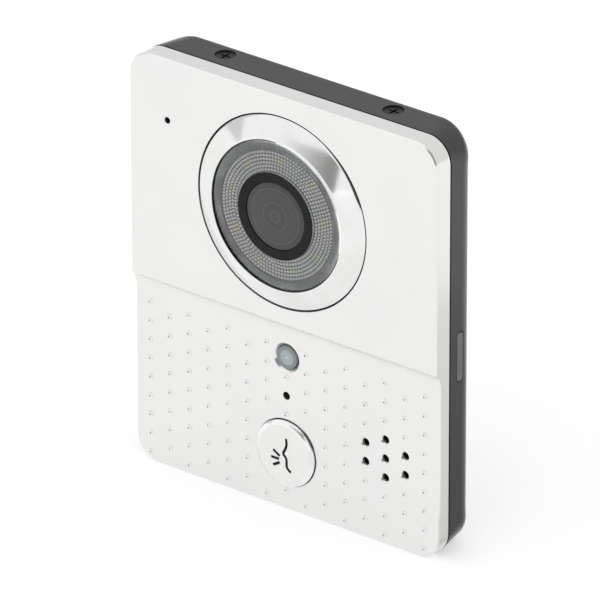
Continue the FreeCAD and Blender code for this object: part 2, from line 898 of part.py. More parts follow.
def indicator_led():
    return square(indicator_led_width, 0, indicator_z, board_front, board_front + indicator_led_height)


def microphone_boot():
    """Rubber cup in the plate's collar, with a bored nose in the plate's hole."""
    back = mic_front - mic_height
    nose_front = upper_face - boot_nose_sink
    body = disc(mic_radius + boot_wall, back, upper_inside, mic_x, mic_z)
    nose = disc(mic_hole_radius - boot_nose_gap, mic_front, nose_front, mic_x, mic_z)
    return body.fuse(nose).cut([disc(mic_radius, back, mic_front, mic_x, mic_z),
                                disc(boot_nose_bore, back, nose_front, mic_x, mic_z)])


def microphone():
    return disc(mic_radius, mic_front - mic_height, mic_front, mic_x, mic_z)


def speaker_frame():
    """Pressed basket with a flat rim and a ledge for the cone."""
    inner = speaker_radius - speaker_rim
    ledge = speaker_front - cone_thickness
    return turned([(0, speaker_back), (basket_radius, speaker_back), (inner, speaker_rim_back),
                   (speaker_radius, speaker_rim_back), (speaker_radius, speaker_front),
                   (inner, speaker_front), (inner, ledge), (inner - speaker_ledge, ledge),
                   (basket_radius - basket_wall, speaker_back + basket_wall),
                   (0, speaker_back + basket_wall)], speaker_x, speaker_z)


def speaker_magnet():
    return disc(magnet_radius, speaker_back - magnet_height, speaker_back, speaker_x, speaker_z)


def speaker_cone():
    """Shallow paper cone whose edge lies on the frame's ledge."""
    edge = speaker_radius - speaker_rim - cone_clearance
    bend = edge - cone_edge
    low = speaker_back + basket_wall
    high = speaker_front - cone_thickness
    return turned([(0, low), (cone_middle, low), (bend, high), (edge, high), (edge, speaker_front),
                   (bend, speaker_front), (cone_middle, low + cone_thickness),
                   (0, low + cone_thickness)], speaker_x, speaker_z)


def speaker_gasket():
    return ring(speaker_radius, speaker_radius - speaker_gasket_width, speaker_front,
                speaker_front + speaker_gasket_thickness, speaker_x, speaker_z)


def speaker_mesh():
    """Gauze glued to the floor of the plate's pocket."""
    return disc(speaker_mesh_radius, speaker_pocket - speaker_mesh_thickness, speaker_pocket,
                speaker_x, speaker_z)


def speaker_clamp():
    """Ring with two ears that presses the speaker's rim towards the plate."""
    solids = [disc(clamp_radius, clamp_back, clamp_front, speaker_x, speaker_z)]
    solids += [disc(boss_radius, clamp_back, clamp_front, x, z) for x, z in clamp_ear_places()]
    bore = disc(clamp_radius - clamp_wall, clamp_back, clamp_front, speaker_x, speaker_z)
    return merged(solids).cut([bore] + screw_holes(clamp_ear_places(), clamp_back, clamp_front))


def clamp_screws():
    return [pan_screw(x, z, clamp_back) for x, z in clamp_ear_places()]


def main_board():
    """Circuit board on the plate's four bosses."""
    board = block(board_left, board_right, board_bottom, board_top, board_out, board_front)
    return board.cut(screw_holes(board_screw_places(), board_out, board_front))


def board_screws():
    return [pan_screw(x, z, board_out) for x, z in board_screw_places()]


def processor_shield():
    return square(shield_size, shield_x, board_top - shield_drop, board_front,
                  board_front + shield_height)


def radio_module():
    middle = board_bottom + radio_rise
    return block(radio_x - radio_length / 2, radio_x + radio_length / 2, middle - radio_width / 2,
                 middle + radio_width / 2, board_front, board_front + radio_height)


def power_capacitors():
    return [disc(capacitor_radius, board_front, board_front + capacitor_height, x,
                 board_top - capacitor_drop) for x in capacitor_xs]


def terminal_xs():
    first = terminal_x - (terminal_ways - 1) * terminal_pitch / 2
    return [first + way * terminal_pitch for way in range(terminal_ways)]


def terminal_block():
    """Block behind the board, wires from above and screws from behind."""
    half = terminal_ways * terminal_pitch / 2
    back = board_out - terminal_height
    middle = board_bottom + terminal_rise
    top = middle + terminal_depth / 2
    bore = terminal_screw_radius + terminal_screw_clearance
    screw_end = back + terminal_screw_sink + terminal_screw_length
    wire_out = board_out - wire_hole_floor - wire_hole_radius
    body = block(terminal_x - half, terminal_x + half, top - terminal_depth, top, back, board_out)
    cuts = []
    for x in terminal_xs():
        cuts.append(disc(bore, back, screw_end, x, middle))
        cuts.append(Part.makeCylinder(wire_hole_radius, terminal_depth / 2, V(x, -wire_out, top),
                                      V(0, 0, -1)))
    return body.cut(cuts)


def terminal_screws():
    """Slotted screws of the terminal block."""
    back = board_out - terminal_height + terminal_screw_sink
    middle = board_bottom + terminal_rise
    radius = terminal_screw_radius
    screws = []
    for x in terminal_xs():
        slot = block(x - radius, x + radius, middle - terminal_slot_width / 2,
                     middle + terminal_slot_width / 2, back, back + terminal_slot_depth)
        screws.append(disc(radius, back, back + terminal_screw_length, x, middle).cut(slot))
    return screws


def flex_connectors():
    """One socket behind the camera board, one behind the main board."""
    half = connector_width / 2
    upper = camera_z - camera_board_size / 2 + connector_edge
    lower = board_top - connector_edge
    return [block(-half, half, upper, upper + connector_depth,
                  camera_board_out - connector_height, camera_board_out),
            block(-half, half, lower - connector_depth, lower, board_out - connector_height, board_out)]


def camera_flex():
    """Flat cable that drops from one socket and bends to the other."""
    upper = camera_z - camera_board_size / 2 + connector_edge
    lower = board_top - connector_edge
    upper_out = camera_board_out - connector_height / 2
    lower_out = board_out - connector_height / 2
    path = [(upper, upper_out), ((upper + lower) / 2, upper_out), (lower + connector_edge, lower_out),
            (lower, lower_out)]
    half = flex_thickness / 2
    points = [V(-flex_width / 2, -out - half, z) for z, out in path]
    points += [V(-flex_width / 2, half - out, z) for z, out in reversed(path)]
    return Part.Face(Part.makePolygon(points + points[:1])).extrude(V(flex_width, 0, 0))


def call_button():
    """Cap with a polished bevel, a flange behind the plate and a stem for the switch."""
    body = turned([(0, button_back), (button_flange_radius, button_back),
                   (button_flange_radius, button_flange_front), (button_radius, button_flange_front),
                   (button_radius, button_front - button_bevel_height),
                   (button_radius - button_bevel_width, button_front), (0, button_front)], 0, button_z)
    return body.cut(ring(button_hollow_radius, button_stem_radius, button_back,
                         button_back + button_hollow_depth, 0, button_z))


def button_seal():
    """Soft ring between the button's flange and the plate."""
    return ring(button_flange_radius, button_radius + button_gap, button_flange_front, lower_inside,
                0, button_z)


def button_guide():
    """Collar on the main board that keeps the button's flange straight."""
    return ring(guide_radius, guide_bore, board_front, lower_inside, 0, button_z)


def tangent_arcs(start, leave, end, arrive):
    """Two arcs from start to end that keep the directions at both."""
    span = end - start
    spread = 2 * (leave.dot(arrive) - 1)
    slope = -2 * span.dot(leave + arrive)
    reach = (-slope - math.sqrt(slope ** 2 - 4 * spread * span.dot(span))) / (2 * spread)
    first = start + leave * reach
    second = end - arrive * reach
    joint = (first + second) * 0.5
    arcs = []
    for near, corner, far in ((start, first, joint), (joint, second, end)):
        weight = (far - near).Length / reach
        middle = (near + corner * weight + far) * (1 / (2 + weight))
        arcs.append(Part.Arc(near, middle, far).toShape())
    return arcs


def button_spring():
    """Coil spring between the main board and the button's hollow, in quarter turns."""
    low = board_front + spring_wire / 2 + spring_seat_gap
    rise = button_back + button_hollow_depth - spring_wire / 2 - spring_seat_gap - low
    quarters = round(4 * spring_turns)
    climb = rise / (2 * math.pi * spring_turns)
    points = []
    ways = []
    for quarter in range(quarters + 1):
        across = math.cos(math.pi / 2 * quarter)
        up = math.sin(math.pi / 2 * quarter)
        points.append(V(spring_radius * across, -low - rise * quarter / quarters,
                        button_z + spring_radius * up))
        ways.append(V(-spring_radius * up, -climb, spring_radius * across).normalize())
    path = []
    for quarter in range(quarters):
        path += tangent_arcs(points[quarter], ways[quarter], points[quarter + 1], ways[quarter + 1])
    section = Part.Wire(Part.makeCircle(spring_wire / 2, points[0], ways[0]))
    return Part.Wire(path).makePipeShell([section], True, False)


def switch_body():
    front = board_front + switch_height
    body = square(switch_size, 0, button_z, board_front, front)
    return body.cut(disc(plunger_radius + plunger_clearance, front - plunger_pocket, front, 0, button_z))


def switch_plunger():
    """Plunger between the switch and the button's stem."""
    pocket = board_front + switch_height - plunger_pocket
    return disc(plunger_radius, pocket + button_travel + plunger_clearance, button_back, 0, button_z)


pieces = [
    front_plate, rear_housing, case_gasket, case_screws, side_plug, cable_grommet,
    camera_bezel, bezel_seal, window_seal, camera_window, led_lens_ring, led_board,
    illumination_leds, lens_surround, front_lens, lens_barrel, rear_lens, lens_holder,
    image_sensor, camera_board, camera_carrier, carrier_screws, camera_board_screws,
    sensor_window, light_sensor, indicator_lens, indicator_led, microphone, microphone_boot,
    speaker_frame, speaker_magnet, speaker_cone, speaker_gasket, speaker_mesh, speaker_clamp,
    clamp_screws, main_board, board_screws, processor_shield, radio_module, power_capacitors,
    terminal_block, terminal_screws, flex_connectors, camera_flex, call_button, button_seal,
    button_guide, button_spring, switch_body, switch_plunger,
]

os.makedirs("parts", exist_ok=True)
for piece in pieces:
    shape = piece()
    if isinstance(shape, list):
        shape = Part.makeCompound(shape)
    shape.exportStep("parts/" + piece.__name__ + ".step")
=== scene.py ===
import math

import bpy
from mathutils import Matrix, Vector


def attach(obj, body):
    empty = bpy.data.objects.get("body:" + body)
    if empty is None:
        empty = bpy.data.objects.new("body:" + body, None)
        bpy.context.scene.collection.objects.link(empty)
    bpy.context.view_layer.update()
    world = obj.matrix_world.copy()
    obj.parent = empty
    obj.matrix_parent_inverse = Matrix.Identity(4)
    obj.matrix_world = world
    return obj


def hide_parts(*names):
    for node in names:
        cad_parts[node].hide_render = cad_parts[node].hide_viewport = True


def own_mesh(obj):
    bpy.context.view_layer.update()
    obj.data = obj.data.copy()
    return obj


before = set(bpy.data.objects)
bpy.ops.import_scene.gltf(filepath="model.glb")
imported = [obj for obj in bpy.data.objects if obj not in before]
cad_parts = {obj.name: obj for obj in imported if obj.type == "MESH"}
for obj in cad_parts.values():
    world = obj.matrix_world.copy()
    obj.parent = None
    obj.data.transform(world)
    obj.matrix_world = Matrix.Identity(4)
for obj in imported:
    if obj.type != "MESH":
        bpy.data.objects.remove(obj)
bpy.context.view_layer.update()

bpy.ops.object.select_all(action="DESELECT")
mm = 0.001

# Front plate.
# A zinc casting, thick above the step and thin below it, sprayed in a satin white with fine silver
# flake. Its dimples, speaker holes and bevelled sensor hole are in the CAD solid, so it stays.
plate_white = (0.84, 0.84, 0.835, 1)
plate_cool = (0.82, 0.823, 0.82, 1)
plate_flake = 0.06 * mm
plate_drift = 22 * mm
noise_detail = 3.0
noise_low = 0.3
noise_high = 0.7


def new_material(name):
    """A material with its nodes, its links and its shader, ready to be wired."""
    material = bpy.data.materials.new(name)
    material.use_nodes = True
    nodes = material.node_tree.nodes
    return material, nodes, material.node_tree.links, nodes["Principled BSDF"]


def noise(nodes, links, size):
    """Noise with features of the given size, fixed to the object's own coordinates."""
    place = nodes.new("ShaderNodeTexCoord")
    texture = nodes.new("ShaderNodeTexNoise")
    texture.inputs["Scale"].default_value = 1 / size
    texture.inputs["Detail"].default_value = noise_detail
    links.new(place.outputs["Object"], texture.inputs["Vector"])
    return texture.outputs["Fac"]


def blend_colours(nodes, links, factor, first, second, low=0.35, high=0.65):
    """A colour that goes from first to second as the factor goes from low to high."""
    ramp = nodes.new("ShaderNodeValToRGB")
    ramp.color_ramp.elements[0].position = low
    ramp.color_ramp.elements[0].color = first
    ramp.color_ramp.elements[1].position = high
    ramp.color_ramp.elements[1].color = second
    links.new(factor, ramp.inputs["Fac"])
    return ramp.outputs["Color"]


def between(nodes, links, factor, low, high):
    """A number that goes from low to high over the middle of a noise's range."""
    span = nodes.new("ShaderNodeMapRange")
    span.inputs["From Min"].default_value = noise_low
    span.inputs["From Max"].default_value = noise_high
    span.inputs["To Min"].default_value = low
    span.inputs["To Max"].default_value = high
    links.new(factor, span.inputs["Value"])
    return span.outputs["Result"]


def relief(nodes, links, factor, depth):
    """A bump of the given depth."""
    bump = nodes.new("ShaderNodeBump")
    bump.inputs["Distance"].default_value = depth
    links.new(factor, bump.inputs["Height"])
    return bump.outputs["Normal"]


def finish(name, first, second, drift, grain, roughness, depth, metallic=0.0, shine=0.5):
    """A finish whose colour drifts slowly between two shades over a fine grain. Its shine is 0.5
    on plain plastic and paint, less on rubber and matt coats, and a little more on the housing."""
    material, nodes, links, shader = new_material(name)
    slow = noise(nodes, links, drift)
    fine = noise(nodes, links, grain)
    links.new(blend_colours(nodes, links, slow, first, second), shader.inputs["Base Color"])
    links.new(between(nodes, links, fine, *roughness), shader.inputs["Roughness"])
    links.new(relief(nodes, links, fine, depth), shader.inputs["Normal"])
    shader.inputs["Metallic"].default_value = metallic
    shader.inputs["Specular IOR Level"].default_value = shine
    return material


def dress(node, material):
    """Gives a CAD node its finish."""
    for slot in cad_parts[node].material_slots:
        slot.material = material


plate_coat = finish("satin white coat", plate_white, plate_cool, drift=plate_drift, grain=plate_flake,
                    roughness=(0.15, 0.22), depth=0.0003 * mm, metallic=0.65)
dress("front_plate", plate_coat)

# Rear housing and side plug.
# Dark grey moulded plastic with a fine spark-eroded texture. The plug closes the hole of the
# lock on the side and is a shade lighter.
housing_grey = (0.011, 0.0115, 0.0113, 1)
housing_dark = (0.007, 0.0073, 0.0072, 1)
plug_grey = (0.16, 0.163, 0.163, 1)
plug_dark = (0.13, 0.133, 0.134, 1)
spark_grain = 0.11 * mm

dress("rear_housing", finish("textured grey plastic", housing_grey, housing_dark, drift=9 * mm,
                             grain=spark_grain, roughness=(0.20, 0.32), depth=0.003 * mm, shine=0.6))
dress("side_plug", finish("plug plastic", plug_grey, plug_dark, drift=4 * mm, grain=spark_grain,
                          roughness=(0.34, 0.46), depth=0.005 * mm))

# Case gasket, case screws and cable grommet.
# Black rubber between plate and housing and round the cable's way in, as are the bezel's and the
# button's seals and the microphone's boot. The four countersunk screws have a black oxide coat.
rubber = finish("black rubber", (0.003, 0.003, 0.003, 1), (0.008, 0.008, 0.008, 1), drift=3 * mm,
                grain=0.05 * mm, roughness=(0.55, 0.72), depth=0.004 * mm, shine=0.05)
black_oxide = finish("black oxide steel", (0.006, 0.006, 0.007, 1), (0.03, 0.03, 0.032, 1),
                     drift=0.9 * mm, grain=0.04 * mm, roughness=(0.25, 0.38), depth=0.002 * mm,
                     metallic=0.8)
for node in ("case_gasket", "cable_grommet", "bezel_seal", "button_seal", "microphone_boot"):
    dress(node, rubber)
dress("case_screws", black_oxide)

# Camera bezel.
# Turned from aluminium bar and polished. Its cone rises to a narrow rim round the window, and
# the tool has left very fine rings. Its outer wall and the flange behind the plate, and its bore and
# shelf, are near black: painted shade for the dark gap round the bezel and the dark line inside its rim.
camera_z = 27 * mm
bezel_flange_radius = 29.4 * mm
bezel_flange_back = 13.0 * mm
bezel_flange_front = 14.6 * mm
bezel_radius = 27.1 * mm
bezel_edge = 16.9 * mm
bezel_edge_chamfer = 0.55 * mm
rim_front = 19.6 * mm
rim_width = 0.6 * mm
bezel_bore = 21.1 * mm
shelf_bore = 19.5 * mm
shelf_front = 16.9 * mm
bezel_soft_edge = 0.09 * mm
fine_ring_pitch = 0.12 * mm
ring_detail = 4.0
smear_size = 7 * mm
turned_facets = 192
soft_edge_segments = 3
smooth_angle = math.radians(28)
joined_distance = 0.001 * mm


def edit_all(piece):
    """Enters edit mode on one piece with all of it selected."""
    bpy.ops.object.select_all(action="DESELECT")
    bpy.context.view_layer.objects.active = piece
    piece.select_set(True)
    bpy.ops.object.mode_set(mode="EDIT")
    bpy.ops.mesh.select_all(action="SELECT")


def apply_modifiers(piece):
    """Makes a piece's modifiers part of its mesh."""
    for modifier in list(piece.modifiers):
        bpy.ops.object.modifier_apply(modifier=modifier.name)


def turned_piece(name, centre_z, outline, soft_edge=0.0):
    """Turns an outline of (radius, distance from the wall) about an axis square to the wall.
    An outline that starts on the axis is closed there by a flat face."""
    starts_on_axis = outline[0][0] == 0
    if starts_on_axis:
        outline = outline[1:]
    radius, out = outline[0]
    bpy.ops.object.select_all(action="DESELECT")
    bpy.ops.mesh.primitive_circle_add(vertices=turned_facets, radius=radius,
                                      rotation=(math.pi / 2, 0, 0), location=(0, -out, centre_z))
    piece = bpy.context.object
    piece.name = name
    bpy.ops.object.transform_apply(location=True, rotation=True, scale=True)
    edit_all(piece)
    for next_radius, next_out in outline[1:]:
        bpy.ops.mesh.extrude_edges_move(TRANSFORM_OT_translate={"value": (0, out - next_out, 0)})
        if next_radius == 0:
            bpy.ops.mesh.merge(type="CENTER")
        else:
            scale = next_radius / radius
            bpy.ops.transform.resize(value=(scale, 1, scale),
                                     center_override=(0, -next_out, centre_z))
        radius, out = next_radius, next_out
    bpy.ops.mesh.select_all(action="SELECT")
    bpy.ops.mesh.remove_doubles(threshold=joined_distance)
    if starts_on_axis:
        bpy.ops.mesh.select_all(action="DESELECT")
        bpy.ops.mesh.select_non_manifold()
        bpy.ops.mesh.edge_face_add()
        bpy.ops.mesh.select_all(action="SELECT")
    bpy.ops.mesh.normals_make_consistent(inside=False)
    bpy.ops.object.mode_set(mode="OBJECT")
    if soft_edge:
        bevel = piece.modifiers.new("soft edges", "BEVEL")
        bevel.width = soft_edge
        bevel.segments = soft_edge_segments
        bevel.limit_method = "ANGLE"
        bevel.angle_limit = smooth_angle
        apply_modifiers(piece)
    bpy.ops.object.shade_smooth_by_angle(angle=smooth_angle)
    level_faces = piece.modifiers.new("level faces", "WEIGHTED_NORMAL")
    level_faces.keep_sharp = True
    apply_modifiers(piece)
    return piece


def axis_distance(nodes, links, centre_z):
    """Distance from an axis square to the wall, for patterns left by a lathe."""
    place = nodes.new("ShaderNodeTexCoord")
    centred = nodes.new("ShaderNodeMapping")
    centred.inputs["Location"].default_value = (0, 0, -centre_z)
    flat = nodes.new("ShaderNodeVectorMath")
    flat.operation = "MULTIPLY"
    flat.inputs[1].default_value = (1, 0, 1)
    length = nodes.new("ShaderNodeVectorMath")
    length.operation = "LENGTH"
    links.new(place.outputs["Object"], centred.inputs["Vector"])
    links.new(centred.outputs["Vector"], flat.inputs[0])
    links.new(flat.outputs["Vector"], length.inputs[0])
    return length.outputs["Value"]


def turned_metal(name, first, second, centre_z, ring_pitch, roughness, depth):
    """Polished metal with the fine rings that a lathe leaves about its axis."""
    material, nodes, links, shader = new_material(name)
    rings = nodes.new("ShaderNodeTexNoise")
    rings.noise_dimensions = "1D"
    rings.inputs["Scale"].default_value = 1 / ring_pitch
    rings.inputs["Detail"].default_value = ring_detail
    links.new(axis_distance(nodes, links, centre_z), rings.inputs["W"])
    smears = noise(nodes, links, smear_size)
    links.new(blend_colours(nodes, links, smears, first, second), shader.inputs["Base Color"])
    links.new(between(nodes, links, smears, *roughness), shader.inputs["Roughness"])
    links.new(relief(nodes, links, rings.outputs["Fac"], depth), shader.inputs["Normal"])
    shader.inputs["Metallic"].default_value = 1.0
    return material


bezel = turned_piece("polished_bezel", camera_z, [
    (shelf_bore, bezel_flange_back), (bezel_flange_radius, bezel_flange_back),
    (bezel_flange_radius, bezel_flange_front), (bezel_radius, bezel_flange_front),
    (bezel_radius, bezel_edge), (bezel_radius - bezel_edge_chamfer, bezel_edge + bezel_edge_chamfer),
    (bezel_bore + rim_width, rim_front), (bezel_bore, rim_front), (bezel_bore, shelf_front),
    (shelf_bore, shelf_front), (shelf_bore, bezel_flange_back)], soft_edge=bezel_soft_edge)
bezel.data.materials.append(turned_metal("polished aluminium", (0.76, 0.76, 0.76, 1),
                                         (0.72, 0.72, 0.715, 1), camera_z, ring_pitch=fine_ring_pitch,
                                         roughness=(0.09, 0.12), depth=0.0003 * mm))
# The second finish, near black, is painted shade for the gap round the bezel and the bore inside its rim.
bezel.data.materials.append(finish("bezel gap shade black", (0.012, 0.012, 0.012, 1), (0.02, 0.02, 0.02, 1),
                                   drift=3 * mm, grain=0.1 * mm, roughness=(0.4, 0.5), depth=0.002 * mm,
                                   shine=0.2))


def second_finish(piece, centre_z, beyond, within=0.0):
    """Gives a turned piece's second finish to its faces beyond one radius and within another."""
    for face in piece.data.polygons:
        radii = [math.hypot(piece.data.vertices[corner].co.x, piece.data.vertices[corner].co.z - centre_z)
                 for corner in face.vertices]
        face.material_index = int(min(radii) > beyond or max(radii) < within)


# Painted shade: the outer wall, the flange, the bore and the shelf take the near black finish.
second_finish(bezel, camera_z, beyond=bezel_radius - bezel_soft_edge,
              within=bezel_bore + bezel_soft_edge / 2)
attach(bezel, "station")
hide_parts("camera_bezel")

# Clear window and its seal.
# A moulded ring of clear polycarbonate over the lamps, open in the middle for the lens. Its
# face is flat and its edge falls in a round shoulder to the bezel, where it lies on a silvered
# seal whose fine rings show through it.
window_front = 19.9 * mm
window_thickness = 1.0 * mm
window_back = 17.43 * mm
window_bore = 12.15 * mm
window_radius = 21.0 * mm
window_shoulder = 18.4 * mm
shoulder_drop = 1.2 * mm
shoulder_steps = 10
window_soft_edge = 0.04 * mm
polycarbonate_ior = 1.56


def clear_plastic(name, tint, ior, grain, depth, roughness):
    """Clear moulding with the faint waves and haze that it has in real life."""
    material, nodes, links, shader = new_material(name)
    waves = noise(nodes, links, grain)
    links.new(blend_colours(nodes, links, waves, tint, (1, 1, 1, 1)), shader.inputs["Base Color"])
    links.new(between(nodes, links, waves, *roughness), shader.inputs["Roughness"])
    links.new(relief(nodes, links, waves, depth), shader.inputs["Normal"])
    shader.inputs["Transmission Weight"].default_value = 1.0
    shader.inputs["IOR"].default_value = ior
    return material


shoulder = []
for step in range(shoulder_steps + 1):
    turn = step / shoulder_steps * math.pi / 2
    shoulder.append((window_shoulder + (window_radius - window_shoulder) * math.sin(turn),
                     window_front - shoulder_drop * (1 - math.cos(turn))))
window = turned_piece("clear_window", camera_z, [
    (window_bore, window_front - window_thickness), (window_bore, window_front), *shoulder,
    (window_radius, window_back), (window_shoulder, window_back),
    (window_shoulder, window_front - window_thickness),
    (window_bore, window_front - window_thickness)], soft_edge=window_soft_edge)
window.data.materials.append(clear_plastic("clear polycarbonate", (0.94, 0.965, 0.97, 1),
                                           ior=polycarbonate_ior, grain=6 * mm, depth=0.002 * mm,
                                           roughness=(0.0, 0.03)))
dress("window_seal", turned_metal("silvered seal", (0.015, 0.018, 0.02, 1), (0.09, 0.096, 0.10, 1),
                                  camera_z, ring_pitch=0.5 * mm, roughness=(0.08, 0.16),
                                  depth=0.02 * mm))
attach(window, "station")
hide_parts("camera_window")

# Bead lens over the lamps.
# One moulding with six rings of little beads that spread the lamps' light, on a carrier with a
# pale skirt. The beads are opaque: their pale silver is painted reflection, with a yellow spot over
# each lamp. The carrier under them is near black, painted shade for the grooves between them, and the
# skirt's pale grey is painted light that lightens the clear window's edge where it shows through.
bead_ring_radius = 18.3 * mm
bead_ring_bore = 12.15 * mm
bead_ring_front = 18.45 * mm
bead_ring_back = 17.9 * mm
bead_ring_skirt = 17.5 * mm
bead_ring_foot = 14.0 * mm
bead_ring_soft_edge = 0.04 * mm
bead_rows = 6
first_bead_row = 12.64 * mm
bead_pitch = 0.98 * mm
bead_radius = 0.40 * mm
bead_height = 0.36 * mm
bead_segments = 10
bead_rings = 6
lamp_count = 9
lamp_circle = 15.6 * mm
lamp_first_angle = math.radians(8)
lamp_glow_radius = 1.7 * mm
lamp_glow_start = 0.35
# The beads' pale silver is painted reflection, for the bright look of clear beads.
bead_reflection_silver = (0.60, 0.61, 0.60, 1)
bead_yellow = (0.74, 0.68, 0.42, 1)
bead_haze = 0.3 * mm
bead_ior = 1.58


def calculated(nodes, links, operation, first, second=0.0):
    """The result of one step of arithmetic on sockets or numbers."""
    step = nodes.new("ShaderNodeMath")
    step.operation = operation
    for socket, value in zip(step.inputs, (first, second)):
        if isinstance(value, bpy.types.NodeSocket):
            links.new(value, socket)
        else:
            socket.default_value = value
    return step.outputs["Value"]


def bead_material():
    """Opaque beads whose pale silver is painted reflection, tinted yellow in a round spot over each lamp.
    """
    material, nodes, links, shader = new_material("bead plastic")
    place = nodes.new("ShaderNodeTexCoord")
    centred = nodes.new("ShaderNodeMapping")
    centred.inputs["Location"].default_value = (0, 0, -camera_z)
    parts = nodes.new("ShaderNodeSeparateXYZ")
    links.new(place.outputs["Object"], centred.inputs["Vector"])
    links.new(centred.outputs["Vector"], parts.inputs["Vector"])
    angle = calculated(nodes, links, "ARCTAN2", parts.outputs["Z"], parts.outputs["X"])
    from_first = calculated(nodes, links, "SUBTRACT", angle, lamp_first_angle)
    lamps = calculated(nodes, links, "MULTIPLY", from_first, lamp_count)
    near = nodes.new("ShaderNodeMapRange")
    near.inputs["From Min"].default_value = lamp_glow_start
    links.new(calculated(nodes, links, "COSINE", lamps), near.inputs["Value"])
    off_circle = calculated(nodes, links, "SUBTRACT", axis_distance(nodes, links, camera_z), lamp_circle)
    level = nodes.new("ShaderNodeMapRange")
    level.inputs["From Min"].default_value = lamp_glow_radius
    level.inputs["From Max"].default_value = 0.0
    links.new(calculated(nodes, links, "ABSOLUTE", off_circle), level.inputs["Value"])
    spot = calculated(nodes, links, "MULTIPLY", near.outputs["Result"], level.outputs["Result"])
    links.new(blend_colours(nodes, links, spot, bead_reflection_silver, bead_yellow, low=0.05, high=0.75),
              shader.inputs["Base Color"])
    haze = noise(nodes, links, bead_haze)
    links.new(between(nodes, links, haze, low=0.05, high=0.16), shader.inputs["Roughness"])
    shader.inputs["IOR"].default_value = bead_ior
    return material


bead_carrier = turned_piece("bead_carrier", camera_z, [
    (bead_ring_bore, bead_ring_back), (bead_ring_bore, bead_ring_front),
    (bead_ring_radius, bead_ring_front), (bead_ring_radius, bead_ring_foot),
    (bead_ring_skirt, bead_ring_foot), (bead_ring_skirt, bead_ring_back),
    (bead_ring_bore, bead_ring_back)], soft_edge=bead_ring_soft_edge)
# Near black under the beads as painted groove shade; the skirt's pale grey is painted light.
bead_carrier.data.materials.append(finish("painted groove shade", (0.012, 0.012, 0.013, 1),
                                          (0.02, 0.02, 0.02, 1), drift=1.5 * mm, grain=0.1 * mm,
                                          roughness=(0.3, 0.4), depth=0.001 * mm, shine=0.3))
bead_carrier.data.materials.append(finish("pale skirt painted light", (0.42, 0.44, 0.45, 1),
                                          (0.30, 0.32, 0.33, 1), drift=2.5 * mm, grain=0.1 * mm,
                                          roughness=(0.15, 0.25), depth=0.002 * mm))
second_finish(bead_carrier, camera_z, beyond=bead_ring_radius - bead_ring_soft_edge)
bpy.ops.object.empty_add(location=(0, 0, camera_z))
bead_turn = bpy.context.object
bead_rows_made = []
for row in range(bead_rows):
    bpy.ops.object.select_all(action="DESELECT")
    bpy.ops.mesh.primitive_uv_sphere_add(segments=bead_segments, ring_count=bead_rings,
                                         radius=bead_radius, location=(0, 0, camera_z))
    beads = bpy.context.object
    bpy.ops.object.mode_set(mode="EDIT")
    bpy.ops.mesh.bisect(plane_co=(0, 0, camera_z), plane_no=(0, 0, 1), clear_inner=True)
    bpy.ops.mesh.select_all(action="SELECT")
    bpy.ops.transform.resize(value=(1, 1, bead_height / bead_radius),
                             center_override=(0, 0, camera_z))
    bpy.ops.transform.rotate(value=-math.pi / 2, orient_axis="X", center_override=(0, 0, camera_z))
    reach = first_bead_row + row * bead_pitch
    beads_in_row = round(math.tau * reach / bead_pitch)
    stagger = row % 2 * math.pi / beads_in_row
    bpy.ops.transform.translate(value=(reach * math.cos(stagger), -bead_ring_front,
                                       reach * math.sin(stagger)))
    bpy.ops.object.mode_set(mode="OBJECT")
    ring = beads.modifiers.new("round the lens", "ARRAY")
    ring.count = beads_in_row
    ring.use_relative_offset = False
    ring.use_object_offset = True
    ring.offset_object = bead_turn
    bead_turn.rotation_euler = (0, math.tau / beads_in_row, 0)
    bpy.context.view_layer.update()
    apply_modifiers(beads)
    bpy.ops.object.shade_smooth()
    bead_rows_made.append(beads)
bpy.data.objects.remove(bead_turn)
bpy.ops.object.select_all(action="DESELECT")
for beads in bead_rows_made:
    beads.select_set(True)
bpy.context.view_layer.objects.active = bead_rows_made[0]
bpy.ops.object.join()
bpy.ops.object.transform_apply(location=True, rotation=True, scale=True)
bead_lens = bpy.context.object
bead_lens.name = "bead_lens"
bead_lens.data.materials.append(bead_material())
for piece in (bead_carrier, bead_lens):
    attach(piece, "station")
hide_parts("led_lens_ring")

# Lamp board and its lamps.
# A white ring board behind the beads, with nine chips under yellow phosphor soldered to it. The
# indicator's chip is of the same kind.
dress("led_board", finish("white solder mask", (0.72, 0.73, 0.71, 1), (0.62, 0.63, 0.61, 1),
                          drift=5 * mm, grain=0.2 * mm, roughness=(0.30, 0.40), depth=0.002 * mm))
phosphor = finish("yellow phosphor", (0.75, 0.62, 0.16, 1), (0.66, 0.52, 0.10, 1), drift=0.8 * mm,
                  grain=0.05 * mm, roughness=(0.35, 0.50), depth=0.004 * mm)
dress("illumination_leds", phosphor)
dress("indicator_led", phosphor)

# Lens surround, barrel, holder and camera carrier.
# Matt black plastic. The surround keeps stray light off the lens, the barrel is threaded into the
# holder, and the carrier is screwed to the bezel and the plate from behind.
camera_black = finish("matt black plastic", (0.008, 0.008, 0.008, 1), (0.013, 0.013, 0.013, 1),
                      drift=3 * mm, grain=0.3 * mm, roughness=(0.42, 0.55), depth=0.0005 * mm,
                      shine=0.15)
for node in ("lens_surround", "lens_barrel", "lens_holder", "camera_carrier"):
    dress(node, camera_black)

# Front lens and rear lens.
# Ground glass, the front one slightly domed. Both have a faint coating. The pale rings painted on the
# front one, given as a share of its radius and a shade, are painted reflections of the edges of the
# glasses behind.
lens_radius = 9.3 * mm
lens_back = 19.1 * mm
lens_edge = 0.6 * mm
lens_dome = 0.4 * mm
dome_steps = 14
